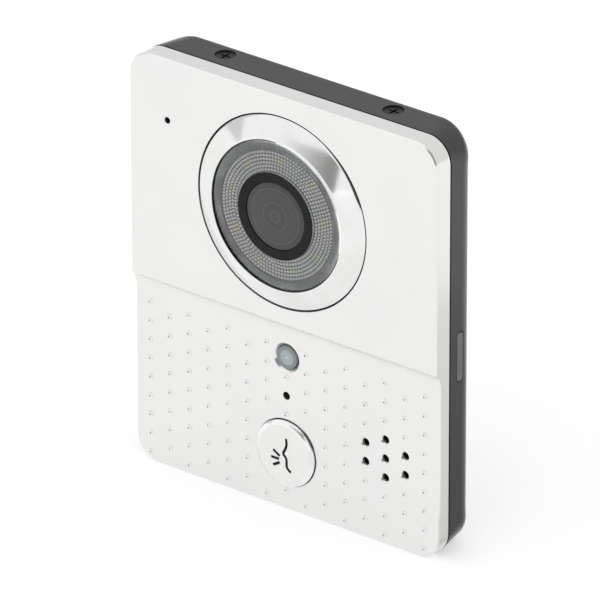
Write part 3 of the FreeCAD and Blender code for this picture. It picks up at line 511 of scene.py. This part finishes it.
# Painted reflections: pale rings for the edges of the glasses behind.
painted_lens_reflections = ((0.10, 0.055), (0.14, 0.085), (0.24, 0.055), (0.38, 0.06), (0.41, 0.085), (0.45, 0.06),
              (0.60, 0.065), (0.80, 0.06), (0.83, 0.09), (0.86, 0.05))
painted_reflection_tone = (1.0, 0.98, 0.96)
lens_middle_colour = (0.075, 0.073, 0.07, 1)
lens_rim_colour = (0.045, 0.045, 0.044, 1)
lens_haze = 1.5 * mm
lens_relief = 0.0002 * mm
coated_glass_ior = 1.45
plain_glass_ior = 1.5

lens_ball = (lens_radius ** 2 + lens_dome ** 2) / (2 * lens_dome)
dome = []
for step in range(dome_steps + 1):
    reach = lens_radius * (1 - step / dome_steps)
    rise = math.sqrt(lens_ball ** 2 - reach ** 2) - (lens_ball - lens_dome)
    dome.append((reach, lens_back + lens_edge + rise))
front_lens = turned_piece("front_element", camera_z, [
    (0, lens_back), (lens_radius, lens_back), *dome])


def glass_with_painted_reflections():
    """Dark glass with faint pale rings painted on it, as painted reflections of the lenses' edges behind.
    """
    material, nodes, links, shader = new_material("lens glass with painted reflections")
    share = nodes.new("ShaderNodeMapRange")
    share.inputs["From Max"].default_value = lens_radius
    links.new(axis_distance(nodes, links, camera_z), share.inputs["Value"])
    shade = nodes.new("ShaderNodeValToRGB")
    middle, rim = shade.color_ramp.elements
    middle.color = lens_middle_colour
    rim.color = lens_rim_colour
    for place, level in painted_lens_reflections:
        ring = shade.color_ramp.elements.new(place)
        ring.color = (*(level * tone for tone in painted_reflection_tone), 1)
    links.new(share.outputs["Result"], shade.inputs["Fac"])
    links.new(shade.outputs["Color"], shader.inputs["Base Color"])
    haze = noise(nodes, links, lens_haze)
    links.new(between(nodes, links, haze, low=0.02, high=0.07), shader.inputs["Roughness"])
    links.new(relief(nodes, links, haze, lens_relief), shader.inputs["Normal"])
    shader.inputs["IOR"].default_value = coated_glass_ior
    return material


front_lens.data.materials.append(glass_with_painted_reflections())
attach(front_lens, "station")
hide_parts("front_lens")
dress("rear_lens", clear_plastic("coated glass", (0.90, 0.92, 0.93, 1), ior=plain_glass_ior,
                                 grain=9 * mm, depth=0.0001 * mm, roughness=(0.0, 0.01)))

# Boards, what they carry, and their screws.
# Glass fibre boards under green solder mask with copper tracks below it, dark silicon chips, tinned
# cans over the processor and the radio, a flat cable of amber film, and zinc plated screws.
track_pitch = 1.1 * mm
tracks_to_cell = 4
track_band = 0.1
track_edge = (0.045, 0.055)
solder_mask_dark = (0.012, 0.09, 0.035, 1)
solder_mask_on_copper = (0.03, 0.19, 0.07, 1)
solder_mask_haze = 0.4 * mm
track_thickness = 0.02 * mm


def board_material():
    """Green solder mask over copper tracks."""
    material, nodes, links, shader = new_material("green solder mask")
    place = nodes.new("ShaderNodeTexCoord")
    tracks = nodes.new("ShaderNodeTexVoronoi")
    tracks.distance = "MANHATTAN"
    tracks.feature = "F1"
    tracks.inputs["Scale"].default_value = 1 / (tracks_to_cell * track_pitch)
    links.new(place.outputs["Object"], tracks.inputs["Vector"])
    bands = calculated(nodes, links, "PINGPONG", tracks.outputs["Distance"], track_band)
    links.new(blend_colours(nodes, links, bands, solder_mask_dark, solder_mask_on_copper, *track_edge),
              shader.inputs["Base Color"])
    haze = noise(nodes, links, solder_mask_haze)
    links.new(between(nodes, links, haze, low=0.22, high=0.34), shader.inputs["Roughness"])
    links.new(relief(nodes, links, bands, track_thickness), shader.inputs["Normal"])
    return material


green_board = board_material()
dress("camera_board", green_board)
dress("main_board", green_board)
silicon = finish("dark silicon", (0.02, 0.022, 0.03, 1), (0.05, 0.045, 0.06, 1), drift=1.5 * mm,
                 grain=0.1 * mm, roughness=(0.12, 0.2), depth=0.001 * mm)
dress("image_sensor", silicon)
dress("light_sensor", silicon)
tinned = finish("tinned steel", (0.58, 0.58, 0.57, 1), (0.47, 0.47, 0.47, 1), drift=4 * mm,
                grain=0.15 * mm, roughness=(0.22, 0.38), depth=0.003 * mm, metallic=1.0)
for node in ("processor_shield", "radio_module", "microphone", "speaker_frame"):
    dress(node, tinned)
screw_steel = finish("zinc plated steel", (0.55, 0.56, 0.58, 1), (0.42, 0.43, 0.45, 1), drift=1.2 * mm,
                     grain=0.06 * mm, roughness=(0.2, 0.34), depth=0.002 * mm, metallic=1.0)
for node in ("board_screws", "camera_board_screws", "carrier_screws", "clamp_screws",
             "terminal_screws"):
    dress(node, screw_steel)
dress("power_capacitors", finish("capacitor sleeve", (0.02, 0.021, 0.024, 1), (0.04, 0.041, 0.045, 1),
                                 drift=2 * mm, grain=0.1 * mm, roughness=(0.25, 0.35),
                                 depth=0.002 * mm))
dress("terminal_block", finish("terminal green plastic", (0.03, 0.26, 0.10, 1), (0.025, 0.20, 0.08, 1),
                               drift=3 * mm, grain=0.1 * mm, roughness=(0.35, 0.5), depth=0.004 * mm))
dress("camera_flex", finish("amber polyimide", (0.42, 0.20, 0.03, 1), (0.33, 0.14, 0.02, 1),
                            drift=2 * mm, grain=0.3 * mm, roughness=(0.2, 0.3), depth=0.004 * mm))
dress("flex_connectors", finish("connector plastic", (0.70, 0.68, 0.62, 1), (0.60, 0.58, 0.52, 1),
                                drift=2 * mm, grain=0.1 * mm, roughness=(0.4, 0.5), depth=0.003 * mm))

# Sensor window and indicator lens.
# Smoked polycarbonate under the step, with a pale dot in its middle that is a painted highlight and
# a darker edge that is painted shade, and below it the end of the indicator's light pipe.
sensor_z = -15.71 * mm
# A pale dot in the middle is a painted highlight, and the darker edge is painted shade.
sensor_highlight_radius = 0.55 * mm
sensor_halo_radius = 2.3 * mm
sensor_edge_shade_start = 0.86
sensor_highlight_grey = (0.72, 0.76, 0.78, 1)
sensor_highlight_halo_grey = (0.46, 0.51, 0.52, 1)
sensor_glass_grey = (0.42, 0.47, 0.48, 1)
sensor_edge_shade_grey = (0.26, 0.30, 0.31, 1)
smoked_haze = 0.5 * mm
smoked_relief = 0.001 * mm


def smoked_window():
    """Grey glazing with a painted highlight as a pale dot in its middle and painted shade at its edge."""
    material, nodes, links, shader = new_material("smoked polycarbonate")
    grey = nodes.new("ShaderNodeValToRGB")
    highlight_stop, rim = grey.color_ramp.elements
    highlight_stop.color = sensor_highlight_grey
    rim.color = sensor_edge_shade_grey
    halo = grey.color_ramp.elements.new(sensor_highlight_radius / sensor_halo_radius)
    halo.color = sensor_highlight_halo_grey
    glass = grey.color_ramp.elements.new(sensor_edge_shade_start)
    glass.color = sensor_glass_grey
    share = nodes.new("ShaderNodeMapRange")
    share.inputs["From Max"].default_value = sensor_halo_radius
    links.new(axis_distance(nodes, links, sensor_z), share.inputs["Value"])
    links.new(share.outputs["Result"], grey.inputs["Fac"])
    links.new(grey.outputs["Color"], shader.inputs["Base Color"])
    haze = noise(nodes, links, smoked_haze)
    links.new(between(nodes, links, haze, low=0.06, high=0.14), shader.inputs["Roughness"])
    links.new(relief(nodes, links, haze, smoked_relief), shader.inputs["Normal"])
    return material


dress("sensor_window", smoked_window())
dress("indicator_lens", finish("light pipe", (0.002, 0.002, 0.002, 1), (0.005, 0.005, 0.005, 1),
                               drift=1 * mm, grain=0.1 * mm, roughness=(0.12, 0.22), depth=0.001 * mm,
                               shine=0.05))

# Speaker and its clamp.
# A paper cone on a pressed frame with a sintered magnet behind it, held in a black moulded clamp.
# A woven black mesh behind the plate keeps insects and water drops out. The guide and the switch
# of the button are of the clamp's plastic.
weave_pitch = 0.28 * mm
wave_texture_repeat = math.tau / 20
thread_black = (0.001, 0.001, 0.001, 1)
thread_crest_black = (0.004, 0.004, 0.004, 1)
thread_relief = 0.05 * mm
thread_fuzz = 0.1 * mm


def woven_mesh():
    """Black gauze of threads that cross over and under. A wave texture of scale 1 has a band every
    tau / 20, so that share over the pitch spaces the threads."""
    material, nodes, links, shader = new_material("woven gauze")
    place = nodes.new("ShaderNodeTexCoord")
    heights = []
    for direction in ("X", "Z"):
        threads = nodes.new("ShaderNodeTexWave")
        threads.bands_direction = direction
        threads.inputs["Scale"].default_value = wave_texture_repeat / weave_pitch
        links.new(place.outputs["Object"], threads.inputs["Vector"])
        heights.append(threads.outputs["Fac"])
    top = calculated(nodes, links, "MAXIMUM", *heights)
    # The threads are a shade lighter on their crests.
    links.new(blend_colours(nodes, links, top, thread_black, thread_crest_black), shader.inputs["Base Color"])
    shader.inputs["Specular IOR Level"].default_value = 0.0
    fuzz = noise(nodes, links, thread_fuzz)
    links.new(between(nodes, links, fuzz, low=0.5, high=0.7), shader.inputs["Roughness"])
    links.new(relief(nodes, links, top, thread_relief), shader.inputs["Normal"])
    return material


dress("speaker_mesh", woven_mesh())
dress("speaker_cone", finish("pressed paper", (0.05, 0.048, 0.045, 1), (0.08, 0.076, 0.07, 1),
                             drift=2 * mm, grain=0.15 * mm, roughness=(0.6, 0.8), depth=0.02 * mm))
dress("speaker_magnet", finish("sintered magnet", (0.07, 0.07, 0.072, 1), (0.10, 0.10, 0.10, 1),
                               drift=1.5 * mm, grain=0.1 * mm, roughness=(0.4, 0.55), depth=0.006 * mm,
                               metallic=0.6))
dress("speaker_gasket", finish("closed cell foam", (0.02, 0.02, 0.02, 1), (0.035, 0.035, 0.035, 1),
                               drift=1 * mm, grain=0.2 * mm, roughness=(0.7, 0.85), depth=0.04 * mm))
moulded_black = finish("moulded black plastic", (0.02, 0.02, 0.021, 1), (0.032, 0.032, 0.033, 1),
                       drift=5 * mm, grain=0.1 * mm, roughness=(0.35, 0.5), depth=0.005 * mm)
for node in ("speaker_clamp", "button_guide", "switch_body", "switch_plunger"):
    dress(node, moulded_black)

# Call button.
# A turned metal cap, satin on its face and polished on its bevel. A flange behind the plate keeps
# it in, and a stem reaches back to the switch.
button_z = -43.44 * mm
button_radius = 9.5 * mm
button_front = 16.5 * mm
button_bevel_width = 1.2 * mm
button_bevel_height = 0.6 * mm
button_flat_radius = 7.9 * mm
button_flange_radius = 10.8 * mm
button_flange_front = 12.9 * mm
button_back = 12.0 * mm
button_hollow_radius = 7.0 * mm
button_hollow_floor = 13.5 * mm
button_stem_radius = 2.4 * mm
button_soft_edge = 0.08 * mm

button_cap = turned_piece("call_button_cap", button_z, [
    (0, button_back), (button_stem_radius, button_back), (button_stem_radius, button_hollow_floor),
    (button_hollow_radius, button_hollow_floor), (button_hollow_radius, button_back),
    (button_flange_radius, button_back), (button_flange_radius, button_flange_front),
    (button_radius, button_flange_front), (button_radius, button_front - button_bevel_height),
    (button_radius - button_bevel_width, button_front), (button_flat_radius, button_front),
    (0, button_front)], soft_edge=button_soft_edge)
button_cap.data.materials.append(finish("satin button face", (0.86, 0.86, 0.85, 1),
                                        (0.84, 0.84, 0.835, 1), drift=8 * mm, grain=0.05 * mm,
                                        roughness=(0.22, 0.3), depth=0.0001 * mm, metallic=0.6))
button_cap.data.materials.append(turned_metal("polished button edge", (0.82, 0.82, 0.82, 1),
                                              (0.72, 0.72, 0.72, 1), button_z,
                                              ring_pitch=fine_ring_pitch, roughness=(0.05, 0.10),
                                              depth=0.0003 * mm))
second_finish(button_cap, button_z, beyond=button_radius - button_bevel_width - button_soft_edge)
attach(button_cap, "button")
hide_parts("call_button")

# Printed sign.
# The outline of a speaking head, and three rays that fan out from its mouth, in black ink on the
# button's face.
ink_thickness = 0.04 * mm
stroke_width = 0.8 * mm
mouth = Vector((0.1 * mm, -1.9 * mm))
ray_start = 1.7 * mm
ray_end = 4.3 * mm
ray_spread = math.radians(32)
stroke_roundness = 4
curve_order = 3
head_outline = ((0.7, 4.7), (1.0, 3.3), (0.6, 1.7), (-0.45, 0.0), (0.7, -0.8), (0.95, -1.9),
                (0.85, -3.3), (1.2, -4.1), (2.35, -4.75))

strokes = [[Vector(point) * mm for point in head_outline]]
for side in (-1, 0, 1):
    ray = Vector((-math.cos(side * ray_spread), math.sin(side * ray_spread)))
    strokes.append([mouth + ray * ray_start, mouth + ray * ray_end])
sign_data = bpy.data.curves.new("call_sign", "CURVE")
sign_data.dimensions = "3D"
sign_data.bevel_depth = stroke_width / 2
sign_data.bevel_resolution = stroke_roundness
sign_data.use_fill_caps = True
for stroke in strokes:
    line = sign_data.splines.new("NURBS")
    line.points.add(len(stroke) - 1)
    for point, place in zip(line.points, stroke):
        point.co = (place.x, 0, place.y, 1)
    line.order_u = curve_order
    line.use_endpoint_u = True
sign = bpy.data.objects.new("call_sign", sign_data)
bpy.context.scene.collection.objects.link(sign)
bpy.ops.object.select_all(action="DESELECT")
bpy.context.view_layer.objects.active = sign
sign.select_set(True)
bpy.ops.object.convert(target="MESH")
sign.location = (0, -button_front, button_z)
sign.scale = (1, ink_thickness / stroke_width, 1)
bpy.ops.object.transform_apply(location=True, rotation=True, scale=True)
bpy.ops.object.shade_smooth_by_angle(angle=smooth_angle)
sign.data.materials.append(finish("black printing ink", (0.006, 0.006, 0.006, 1),
                                  (0.010, 0.010, 0.010, 1), drift=0.8 * mm, grain=0.05 * mm,
                                  roughness=(0.5, 0.6), depth=0.001 * mm, shine=0.15))
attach(sign, "button")

spring = bpy.data.objects.new("coil_spring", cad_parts["button_spring"].data.copy())
bpy.context.scene.collection.objects.link(spring)
edit_all(spring)
bpy.ops.mesh.remove_doubles(threshold=joined_distance)
bpy.ops.object.mode_set(mode="OBJECT")
bpy.ops.object.shade_smooth_by_angle(angle=smooth_angle)
spring.data.materials.clear()
spring.data.materials.append(finish("spring steel", (0.45, 0.45, 0.46, 1), (0.36, 0.36, 0.37, 1),
                                    drift=1 * mm, grain=0.05 * mm, roughness=(0.2, 0.32),
                                    depth=0.002 * mm, metallic=1.0))
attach(spring, "station")
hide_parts("button_spring")
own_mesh(spring)

# Camera.
# A long lens that stands 2.5 m from the station and looks down on it from its right, as in the
# photograph.
view_turn = math.radians(37.73)
view_lift = math.radians(26.63)
view_roll = math.radians(-0.1)
view_target = Vector((4.5 * mm, -15.3 * mm, 2.5 * mm))
view_distance = 2.5
view_lens = 579.3
view_depth = 20

back = Vector((math.sin(view_turn) * math.cos(view_lift), -math.cos(view_turn) * math.cos(view_lift),
               math.sin(view_lift)))
level = Vector((math.cos(view_turn), math.sin(view_turn), 0))
raised = back.cross(level)
right = level * math.cos(view_roll) + raised * math.sin(view_roll)
up = raised * math.cos(view_roll) - level * math.sin(view_roll)
camera_data = bpy.data.cameras.new("camera")
camera_data.lens = view_lens
camera_data.clip_end = view_depth
camera = bpy.data.objects.new("camera", camera_data)
camera.matrix_world = Matrix.Translation(view_target + back * view_distance) @ Matrix(
    (right, up, back)).transposed().to_4x4()
bpy.context.scene.collection.objects.link(camera)
bpy.context.scene.camera = camera

# Table top.
# A pale matt table under the station. It glows where the camera, the glass and what shines look at
# it, so that it is white there, and lights the station only by what it throws back.
floor_z = -60.05 * mm
floor_size = 8
floor_grey = (0.62, 0.62, 0.62, 1)
floor_roughness = 0.8
floor_glow = 0.5
glow_in_gloss = 1.15

bpy.ops.mesh.primitive_plane_add(size=floor_size, location=(0, 0, floor_z))
floor = bpy.context.object
floor.name = "floor"
bpy.ops.object.transform_apply(location=True, rotation=True, scale=True)
floor_material, nodes, links, shader = new_material("pale table top")
shader.inputs["Base Color"].default_value = floor_grey
shader.inputs["Roughness"].default_value = floor_roughness
shader.inputs["Emission Color"].default_value = (1, 1, 1, 1)
rays = nodes.new("ShaderNodeLightPath").outputs
mirrored = calculated(nodes, links, "MULTIPLY", rays["Is Glossy Ray"], glow_in_gloss)
plain = calculated(nodes, links, "MAXIMUM", rays["Is Camera Ray"], mirrored)
clear = calculated(nodes, links, "MAXIMUM", plain, rays["Is Transmission Ray"])
links.new(calculated(nodes, links, "MULTIPLY", clear, floor_glow), shader.inputs["Emission Strength"])
floor.data.materials.append(floor_material)

# Studio light.
# A pale room, which gives a slightly warm light, and two large soft panels, one before the station
# and one on its right.
room_light = (1, 0.995, 0.985, 1)
room_light_level = 0.84
room_seen = (0.8, 0.8, 0.8, 1)

world = bpy.data.worlds.new("studio")
bpy.context.scene.world = world
world.use_nodes = True
nodes = world.node_tree.nodes
links = world.node_tree.links
ambient = nodes["Background"]
ambient.inputs["Color"].default_value = room_light
ambient.inputs["Strength"].default_value = room_light_level
seen = nodes.new("ShaderNodeBackground")
seen.inputs["Color"].default_value = room_seen
rays = nodes.new("ShaderNodeLightPath").outputs
plain = calculated(nodes, links, "MAXIMUM", rays["Is Camera Ray"], rays["Is Glossy Ray"])
choose = nodes.new("ShaderNodeMixShader")
links.new(calculated(nodes, links, "MAXIMUM", plain, rays["Is Transmission Ray"]), choose.inputs["Fac"])
links.new(ambient.outputs["Background"], choose.inputs[1])
links.new(seen.outputs["Background"], choose.inputs[2])
links.new(choose.outputs["Shader"], nodes["World Output"].inputs["Surface"])


def soft_panel(name, toward, distance, wide, high, brightness):
    """A softbox that faces the station. At a brightness of 1 it would look full white."""
    data = bpy.data.lights.new(name, "AREA")
    data.shape = "RECTANGLE"
    data.size = wide
    data.size_y = high
    data.energy = math.pi * wide * high * brightness
    panel = bpy.data.objects.new(name, data)
    aim = Vector(toward).normalized()
    panel.matrix_world = (Matrix.Translation(aim * distance)
                          @ aim.to_track_quat("Z", "Y").to_matrix().to_4x4())
    bpy.context.scene.collection.objects.link(panel)


soft_panel("key panel", toward=(-0.3, -0.85, 0.4), distance=1.8, wide=2.8, high=2.8, brightness=0.36)
soft_panel("right panel", toward=(1.0, 0.25, 0.5), distance=1.6, wide=1.6, high=1.4, brightness=0.15)

# Cards for the shine.
# Two dark cards before the station and a grey one on the table, for the polished metal, the glass
# and the coat to mirror. The grey one is a painted shadow: it stands in for the station's shadow on
# the table where the sides of the plate and the housing mirror it. Their cloth thins out towards the
# left edge. Only what shines shows them, but the front card casts a shadow too.
flag_distance = 1.0
cloth_roughness = 0.9


def flag_cloth(name, shade, solid_from):
    """Grey cloth that is clear at the card's left edge and solid from a share of its width on."""
    material, nodes, links, shader = new_material(name)
    place = nodes.new("ShaderNodeTexCoord")
    parts = nodes.new("ShaderNodeSeparateXYZ")
    cover = nodes.new("ShaderNodeMapRange")
    cover.inputs["From Max"].default_value = solid_from
    links.new(place.outputs["UV"], parts.inputs["Vector"])
    links.new(parts.outputs["X"], cover.inputs["Value"])
    links.new(cover.outputs["Result"], shader.inputs["Alpha"])
    shader.inputs["Base Color"].default_value = (shade, shade, shade, 1)
    shader.inputs["Roughness"].default_value = cloth_roughness
    return material


def seen_in_gloss_only(card):
    """Hides a card from all but the rays that polished metal, paint and glass throw back."""
    card.visible_camera = False
    card.visible_diffuse = False
    card.visible_transmission = False
    card.visible_shadow = False


def dark_flag(name, toward, wide, high, cloth):
    """A standing card that faces the station and shows only in what shines."""
    bpy.ops.mesh.primitive_plane_add(size=1)
    card = bpy.context.object
    card.name = name
    card.scale = (wide, high, 1)
    aim = Vector(toward).normalized()
    card.rotation_euler = aim.to_track_quat("Z", "Y").to_euler()
    card.location = aim * flag_distance
    bpy.ops.object.transform_apply(location=True, rotation=True, scale=True)
    card.data.materials.append(cloth)
    seen_in_gloss_only(card)
    return card


def table_shadow_card(name, middle, wide, deep, cloth):
    """A card that lies on the table as a painted shadow and shows only in what shines."""
    bpy.ops.mesh.primitive_plane_add(size=1, location=(*middle, floor_z + 1 * mm))
    card = bpy.context.object
    card.name = name
    card.scale = (wide, deep, 1)
    bpy.ops.object.transform_apply(location=True, rotation=True, scale=True)
    card.data.materials.append(cloth)
    seen_in_gloss_only(card)


front_flag = dark_flag("front flag", toward=(-0.22, -1.0, 0.15), wide=0.60, high=0.32,
                       cloth=flag_cloth("thin cloth", shade=0.46, solid_from=0.85))
front_flag.visible_shadow = True
dark_flag("camera flag", toward=(0.60, -0.70, 0.46), wide=0.95, high=0.95,
          cloth=flag_cloth("thick cloth", shade=0.08, solid_from=0.3))
# The grey table card is a painted shadow of the station on the table.
table_shadow_card("table shadow card", middle=(100 * mm, 40 * mm), wide=100 * mm, deep=140 * mm,
           cloth=flag_cloth("table shadow card cloth", shade=0.92, solid_from=0.02))

# Picture.
# The picture shows the colours as they are.
bpy.context.scene.view_settings.view_transform = "Standard"
